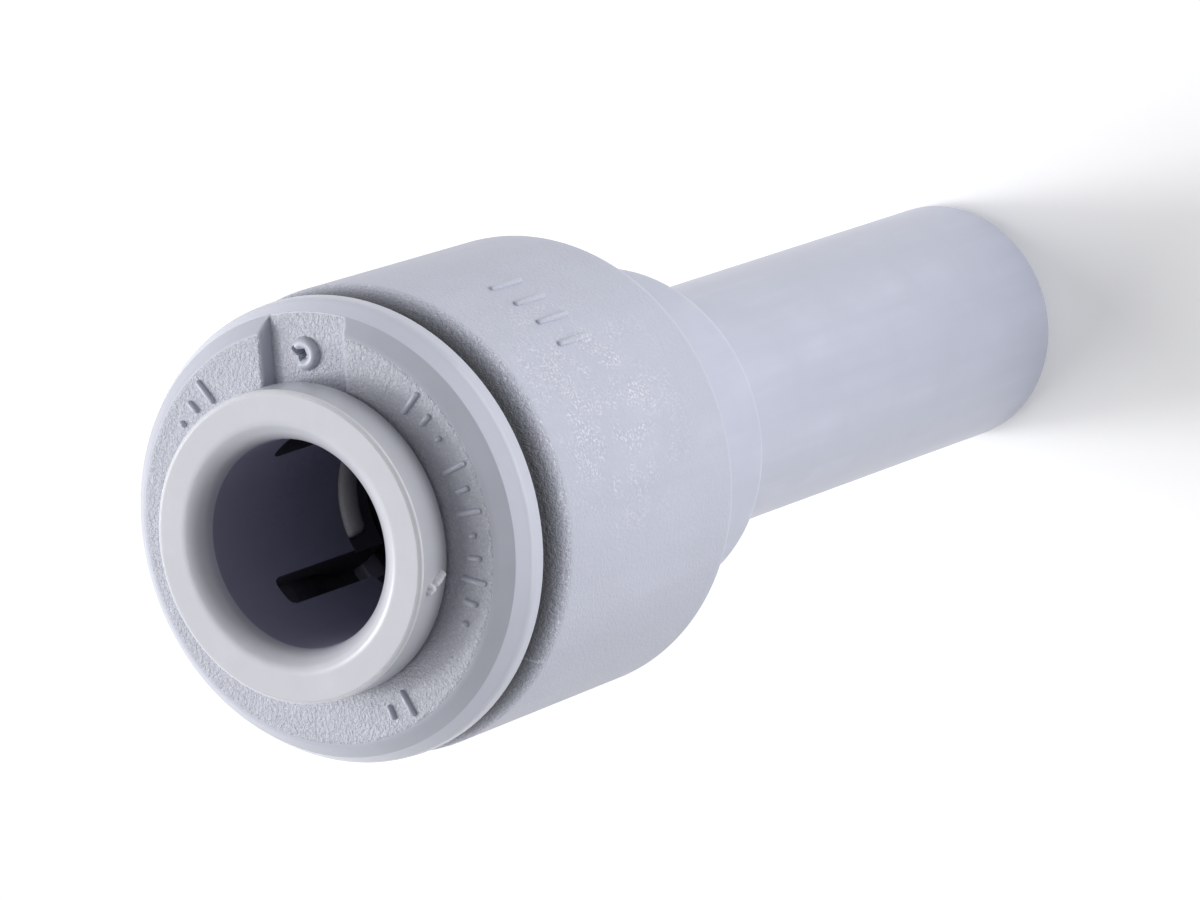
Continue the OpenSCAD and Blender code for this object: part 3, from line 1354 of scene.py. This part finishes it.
@dataclass
class Collet(Moulding):
    """Release button with four sprung legs, one moulding. Sizes are in millimetres."""

    guide_radius: float = 3.225
    sleeve_radius: float = 3.975
    head_radius: float = 4.725
    head_bevel: float = 0.4
    head_land: float = 0.6
    head_cone: float = 2.2
    flange_thickness: float = 1.44
    face_rounding: float = 0.14
    lip_width: float = 0.7
    lip_height: float = 0.75
    relief: float = 0.2
    relief_height: float = 1.7987
    slit_half_width: float = 0.51
    slit_depth: float = 2.95
    slit_rounding: float = 0.25
    slit_turn: float = 40.0
    slit_count: int = 4
    slit_pitch: float = 0.08
    # The scar of the gate on the flange's side: its turn, the half width and pitch of the fine
    # grid under it, how deep its rule reaches, and each bump's offset, depth, size and rise
    scar_turn: float = -102.3
    scar_zone: tuple[float, float] = (0.4, 0.025)
    scar_reach: float = 0.3
    scar_bumps: tuple[tuple[float, float, float, float], ...] = (
        (0.23, 1.04, 0.13, 0.2),
        (0.15, 0.95, 0.13, 0.2),
        (0.07, 0.86, 0.13, 0.2),
        (0.0, 0.77, 0.12, 0.18),
        (-0.13, 0.56, 0.15, 0.2),
        (-0.21, 0.49, 0.12, 0.16),
    )
    lip_steps: int = 12

    LOOKS = (Plastic.COLLET, Plastic.BORE_SHADE, Plastic.SLIT_SHADE, Plastic.COLLET_EDGE_HIGHLIGHT)
    # Limits of the finishes, from the bore's wall, the lip, the face, the side and the slits
    BORE_MARGIN = 0.1
    LIP_MARGIN = 0.05
    FACE_MARGIN = 0.005
    SIDE_MARGIN = 0.03
    SLIT_MARGIN = 0.01

    @property
    def slit_top(self) -> float:
        """Height of the slits' upper ends."""
        return self.reach.top - self.slit_depth

    def corners(self) -> list[Corner]:
        """Lists the corners of the collet's outline.

        Returns:
            The corners, in order round the outline.
        """
        low, top = self.reach.bottom, self.reach.top
        land_top = low + self.head_bevel + self.head_land
        foot = top - self.flange_thickness
        lip = [math.radians(90 + 90 * i / self.lip_steps) for i in range(self.lip_steps + 1)]
        return [
            Corner(self.guide_radius + self.relief, low),
            Corner(self.head_radius - self.head_bevel, low, 0.05),
            Corner(self.head_radius, low + self.head_bevel, 0.1),
            Corner(self.head_radius, land_top, 0.1),
            Corner(self.sleeve_radius, land_top + self.head_cone, 0.1),
            Corner(self.sleeve_radius, self.slit_top),
            Corner(self.sleeve_radius, foot, 0.1),
            Corner(self.reach.radius, foot, 0.12, 0.03),
            Corner(self.reach.radius, top, self.face_rounding),
            *(
                Corner(
                    self.guide_radius + self.lip_width * (1 + math.cos(a)),
                    top - self.lip_height * (1 - math.sin(a)),
                )
                for a in lip
            ),
            Corner(self.guide_radius, self.slit_top),
            Corner(self.guide_radius, low + self.relief_height),
            Corner(self.guide_radius + self.relief, low + self.relief_height - self.relief),
        ]

    def with_scar(self, place: Vector) -> Vector:
        """Raises the gate's scar on the flange's side.

        Args:
            place: A vertex's place.

        Returns:
            Its new place.
        """
        radius = math.hypot(place.x, place.y)
        along, aside = along_and_aside(place, self.scar_turn)
        if radius < self.reach.radius - self.scar_reach or along < 0:
            return place
        lift = 0.0
        for offset, depth, size, rise in self.scar_bumps:
            away = math.hypot(aside - offset, place.z - (self.reach.top - depth))
            lift = max(lift, rise * math.sqrt(max(0.0, 1 - (away / size) ** 2)))
        return place + Vector((place.x, place.y, 0)) * lift / radius

    def with_round_slits(self, place: Vector) -> Vector:
        """Rounds the corners at the slits' upper ends.

        Args:
            place: A vertex's place.

        Returns:
            Its new place.
        """
        below = self.slit_top - place.z
        if below < -NEAR or below > 2 * self.slit_rounding:
            return place
        for i in range(self.slit_count):
            along, aside = along_and_aside(place, self.slit_turn + i * 360 / self.slit_count)
            corner = abs(aside) - (self.slit_half_width - self.slit_rounding)
            if along > 0 and 0 < corner < self.slit_rounding + NEAR:
                flat = math.sqrt(max(0.0, self.slit_rounding**2 - corner**2))
                drop = (self.slit_rounding - flat) * (1 - below / (2 * self.slit_rounding))
                return place - Vector((0, 0, drop))
        return place

    def look_at(self, radius: float, height: float) -> Plastic:
        """Gives the painted shade of the bore, the painted highlight of the flange's edge and scar,
        the painted shade below the slits, or the rest's finish.

        Args:
            radius: The place's distance from the axis, in millimetres.
            height: Its height, in millimetres.

        Returns:
            The finish.
        """
        top, edge = self.reach.top, self.face_rounding
        # Painted shade in the bore below the lip
        if radius < self.guide_radius + self.BORE_MARGIN:
            in_bore = height < top - self.lip_height + self.LIP_MARGIN
            return Plastic.BORE_SHADE if in_bore else Plastic.COLLET
        # Painted highlight on the flange's rounded edge
        if radius > self.reach.radius - edge and height > top - edge:
            on_edge = height < top - self.FACE_MARGIN
            return Plastic.COLLET_EDGE_HIGHLIGHT if on_edge else Plastic.COLLET
        # Painted highlight on the gate scar's bumps
        if radius > self.reach.radius + self.SIDE_MARGIN:
            return Plastic.COLLET_EDGE_HIGHLIGHT
        # Painted shade below the slits' upper ends
        return Plastic.SLIT_SHADE if height < self.slit_top + self.SLIT_MARGIN else Plastic.COLLET

    def open_slits(self, form: TurnedForm) -> None:
        """Skins the grid with the slits left open, and closes the slits' walls and upper ends.

        Args:
            form: The grid.
        """
        rows, count = form.rows, len(form.lines)
        outer, inner = (i for i, p in enumerate(form.outline) if abs(p.y - self.slit_top) < NEAR)
        below = [(inner + i) % len(rows) for i in range((outer - inner) % len(rows) + 1)]
        slit_lines = {
            j for j, line in enumerate(form.lines) if line.share == 0 and self.is_slit(*line.left)
        }
        in_slit = {j for j in slit_lines if (j + 1) % count in slit_lines}
        open_rows = set(below[:-1])
        form.skin(lambda row, line: row in open_rows and line in in_slit)
        for j in in_slit:
            k = (j + 1) % count
            form.mesh.faces.new((rows[outer][j], rows[outer][k], rows[inner][k], rows[inner][j]))
        for j in slit_lines:
            if (j in in_slit) != ((j - 1) % count in in_slit):
                form.mesh.faces.new([rows[i][j] for i in below])

    def is_slit(self, turn: float, offset: float) -> bool:
        """Says whether a grid line's turn in degrees and offset are those of a slit."""
        from_slit = math.remainder(turn - self.slit_turn, 360 / self.slit_count)
        return abs(from_slit) < NEAR and abs(offset) <= self.slit_half_width

    def build(self) -> bpy.types.Object:
        """Builds the moulding.

        Returns:
            The piece.
        """
        step = 360 / self.slit_count
        turns = [self.slit_turn + step * (i - self.slit_count // 2) for i in range(self.slit_count)]
        zones = [Zone.even(turn, self.slit_half_width, self.slit_pitch) for turn in turns]
        zones.append(Zone.even(self.scar_turn, *self.scar_zone))
        form = self.form(sorted(zones, key=lambda zone: zone.turn))
        form.reshape(self.with_scar)
        form.reshape(self.with_round_slits)
        self.open_slits(form)
        piece = self.piece(form, "release_collet")
        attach(piece, "collet")
        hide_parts("collet")
        return piece


@dataclass
class Tooth:
    """Steel blade moulded into one leg, with rounded ends. Sizes are in millimetres."""

    number: int
    first_leg: float = 85.0
    leg_step: float = 90.0
    half_arc: float = 29.0
    tip_radius: float = 2.955
    tip_height: float = 31.35
    root_radius: float = 3.775
    thickness: float = 0.28
    lean: float = 32.0
    end_rounding: float = 0.27
    # Least depth of the blade's back before its root, and the width and height of the tip's facet
    least_depth: float = 0.02
    tip_facet: tuple[float, float] = (0.03, 0.1)
    steps: int = 48

    def section(self, tip: float) -> list[Vector]:
        """Lists the corners of the blade's section.

        Args:
            tip: Radius of the tip there.

        Returns:
            The corners, as (radius, height).
        """
        slope = math.tan(math.radians(self.lean))
        low = self.tip_height + (tip - self.tip_radius) * slope
        root = self.tip_height + (self.root_radius - self.tip_radius) * slope
        back = min(tip + self.thickness, self.root_radius - self.least_depth)
        return [
            Vector((tip, low)),
            Vector((self.root_radius, root)),
            Vector((self.root_radius, root + self.thickness)),
            Vector((back, low + self.thickness + (back - tip) * slope)),
            Vector((tip + self.tip_facet[0], low + self.tip_facet[1])),
        ]

    def build(self) -> bpy.types.Object:
        """Builds the blade.

        Returns:
            The piece.
        """
        mesh = bmesh.new()
        middle = self.first_leg + self.leg_step * (self.number - 1)
        rows = []
        for i in range(self.steps + 1):
            turn = self.half_arc * math.sin(math.pi * (i / self.steps - 0.5))
            to_end = math.radians(self.half_arc - abs(turn)) * self.tip_radius
            short = max(0.0, self.end_rounding - to_end)
            tip = self.tip_radius + self.end_rounding - math.sqrt(self.end_rounding**2 - short**2)
            angle = math.radians(middle + turn)
            places = [Vector(polar(p.x, angle, p.y)) * MM for p in self.section(tip)]
            rows.append([mesh.verts.new(place) for place in places])
        count = len(rows[0])
        for row, following in zip(rows, rows[1:]):
            for i in range(count):
                k = (i + 1) % count
                mesh.faces.new((row[i], row[k], following[k], following[i]))
        mesh.faces.new(rows[0])
        mesh.faces.new(rows[-1])
        piece = mesh_piece(mesh, f"blade_{self.number}", [BladeSteel().material()], SHARP_ANGLE)
        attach(piece, "collet")
        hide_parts(f"tooth_{self.number}")
        return piece


# Studio


def towards(azimuth: float, elevation: float) -> Vector:
    """Gives the unit vector from the part towards an azimuth and an elevation in degrees."""
    rise = math.radians(elevation)
    return Vector(polar(math.cos(rise), math.radians(azimuth), math.sin(rise)))


@dataclass(frozen=True)
class View:
    """The photograph's view of the part.

    Attributes:
        azimuth: Angle of the camera from +X, in degrees.
        elevation: Its angle above the floor.
        roll: Its turn about its own line of sight.
        focal: Focal length, in pixels of the frame.
        distance: Distance of the mouth's plane along the line of sight, in millimetres.
        mouth: Where the mouth's middle lies in the frame, in pixels.
        frame: Width and height of the frame.
    """

    azimuth: float = -72.3
    elevation: float = 55.0
    roll: float = -109.08
    focal: float = 8800.0
    distance: float = 267.8
    mouth: tuple[float, float] = (349.0, 527.1)
    frame: tuple[float, float] = (1200.0, 900.0)

    SENSOR_MM = 36.0
    # Distances between which the camera sees, in metres
    CLIP = (0.01, 20.0)

    def add_camera(self, mouth_height: float) -> None:
        """Places the scene's camera.

        Args:
            mouth_height: Height of the middle of the mouth's plane, in millimetres.
        """
        back = towards(self.azimuth, self.elevation)
        level = back.to_track_quat("Z", "Y").to_matrix()
        turn = level @ Matrix.Rotation(math.radians(self.roll), 3, "Z")
        aside, down = (m - s / 2 for m, s in zip(self.mouth, self.frame))
        offset = Vector((-aside, down, self.focal)) * self.distance / self.focal
        place = Vector((0, 0, mouth_height)) + turn @ offset
        lens = bpy.data.cameras.new("camera")
        lens.sensor_width = self.SENSOR_MM
        lens.lens = self.focal * self.SENSOR_MM / self.frame[0]
        lens.clip_start, lens.clip_end = self.CLIP
        camera = add_object("camera", lens)
        camera.matrix_world = Matrix.Translation(place * MM) @ turn.to_4x4()
        bpy.context.scene.camera = camera


def add_lamp(light: bpy.types.Light, place: Vector, back: Vector) -> bpy.types.Object:
    """Adds a lamp to the scene.

    Args:
        light: Its light.
        place: Its place, in metres.
        back: The direction against which it shines.

    Returns:
        The lamp.
    """
    lamp = add_object(light.name, light)
    lamp.rotation_mode = "QUATERNION"
    lamp.rotation_quaternion = back.to_track_quat("Z", "Y")
    lamp.location = place
    return lamp


@dataclass(frozen=True)
class Lamp:
    """A soft lamp far from the part.

    Attributes:
        name: Its name.
        azimuth: Its angle from +X, in degrees.
        elevation: Its angle above the floor.
        level: Its light on a surface that faces it, as a share of a white sky's.
        spread: Its width as seen from the part, in degrees.
    """

    name: str
    azimuth: float
    elevation: float
    level: float
    spread: float

    # How far off it is drawn, in metres, which has no effect on a lamp of parallel light
    DISTANCE = 0.4

    def add(self) -> None:
        """Adds the lamp to the scene."""
        light = bpy.data.lights.new(self.name, "SUN")
        light.energy = self.level * math.pi
        light.angle = math.radians(self.spread)
        back = towards(self.azimuth, self.elevation)
        add_lamp(light, back * self.DISTANCE, back)


@dataclass(frozen=True)
class Strip:
    """A low strip lamp that stands on the floor, turned to the part.

    Attributes:
        name: Its name.
        azimuth: Its angle from +X, in degrees.
        power: Its power in watts.
        distance: How far it stands from the axis, in millimetres.
        size: Its width and height, in millimetres.
        aim: Height on the axis at which it is aimed, in millimetres.
    """

    name: str
    azimuth: float
    power: float
    distance: float = 80.0
    size: tuple[float, float] = (70.0, 24.0)
    aim: float = 24.0

    def add(self) -> None:
        """Adds the lamp to the scene."""
        light = bpy.data.lights.new(self.name, "AREA")
        light.shape = "RECTANGLE"
        light.size, light.size_y = (side * MM for side in self.size)
        light.energy = self.power
        place = towards(self.azimuth, 0) * self.distance * MM
        place.z = self.size[1] / 2 * MM
        lamp = add_lamp(light, place, place - Vector((0, 0, self.aim * MM)))
        lamp.visible_camera = False


@dataclass
class Studio:
    """White floor, pale sky and soft lamps."""

    view: View
    sky_level: float = 0.2
    floor_size: float = 4.0
    floor_colour: Colour = (0.95, 0.95, 0.95)
    floor_lift: float = 0.22
    lamps: tuple[Lamp | Strip, ...] = (
        Lamp("key", 95.0, 42.0, 0.7, 60.0),
        Lamp("spark", 95.0, 42.0, 0.25, 12.0),
        Strip("right_strip", -95.0, 0.0152),
        Strip("front_strip", -50.0, 0.0168),
    )

    def add_floor(self) -> None:
        """Adds the floor, which is seen as white apart from the part's shadow."""
        half = self.floor_size / 2
        data = bpy.data.meshes.new("floor")
        corners = [(-half, -half, 0), (half, -half, 0), (half, half, 0), (-half, half, 0)]
        data.from_pydata(corners, [], [(0, 1, 2, 3)])
        graph = NodeGraph(bpy.data.materials.new("studio_floor"))
        paint = graph.add("ShaderNodeBsdfDiffuse", {"Color": (*self.floor_colour, 1.0)})
        lift = graph.add("ShaderNodeEmission", {"Strength": self.floor_lift})
        seen = graph.add("ShaderNodeAddShader", {"0": paint.outputs[0], "1": lift.outputs[0]})
        sides = {"0": graph.background_share(), "1": paint.outputs[0], "2": seen.outputs[0]}
        data.materials.append(graph.surface(graph.add("ShaderNodeMixShader", sides)))
        floor = add_object("floor", data)

    def add_sky(self) -> None:
        """Adds the sky, which is seen as white and is paler as a light."""
        graph = NodeGraph(bpy.data.worlds.new("sky"))
        levels = {"Value": graph.background_share(), "To Min": self.sky_level}
        strength = graph.add("ShaderNodeMapRange", levels).outputs[0]
        white = (1.0, 1.0, 1.0, 1.0)
        sky = graph.add("ShaderNodeBackground", {"Color": white, "Strength": strength})
        bpy.context.scene.world = graph.surface(sky, "World")

    def build(self, mouth_height: float) -> None:
        """Builds the studio.

        Args:
            mouth_height: Height of the mouth's plane, at which the camera is aimed.
        """
        bpy.context.scene.view_settings.view_transform = "Standard"
        self.view.add_camera(mouth_height)
        self.add_floor()
        self.add_sky()
        for lamp in self.lamps:
            lamp.add()


def dress_node(node: bpy.types.Object, finish: bpy.types.Material) -> None:
    """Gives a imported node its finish.

    Args:
        node: The node's object.
        finish: The material for all of its slots.
    """
    for slot in node.material_slots:
        slot.material = finish


def main() -> None:
    """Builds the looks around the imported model."""
    logging.basicConfig(level=logging.INFO, format="%(message)s")
    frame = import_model()
    housing, cap = Reach.of("body"), Reach.of("end_cap")
    pieces = [
        Housing(housing).build(),
        EndCap(cap, housing.top).build(),
        Collet(Reach.of("collet")).build(),
        MouldMarks(
            "cap_marks",
            Plastic.CAP_RIM,
            "end_cap",
            Surface.FACE,
            CAP_ROWS,
            radius=5.74,
            height=cap.top,
        ).build(),
        MouldMarks(
            "housing_marks",
            Plastic.BODY,
            "body",
            Surface.SIDE,
            SIDE_ROWS,
            radius=7.28,
            height=31.0,
            width=0.24,
            rise=0.11,
        ).build(),
        *(Tooth(number).build() for number in range(1, 5)),
    ]
    for piece in pieces:
        LOG.info("%s: %d faces", piece.name, len(piece.data.polygons))
    finishes = {
        "body": Plastic.BODY,
        "end_cap": Plastic.CAP_RIM,
        "collet": Plastic.COLLET,
        "o_ring": SealRubber(),
    }
    for name, node in frame["nodes"].items():
        dress_node(node, finishes.get(name, BladeSteel()).material())
    Studio(View()).build(housing.top)


if __name__ == "__main__":
    main()
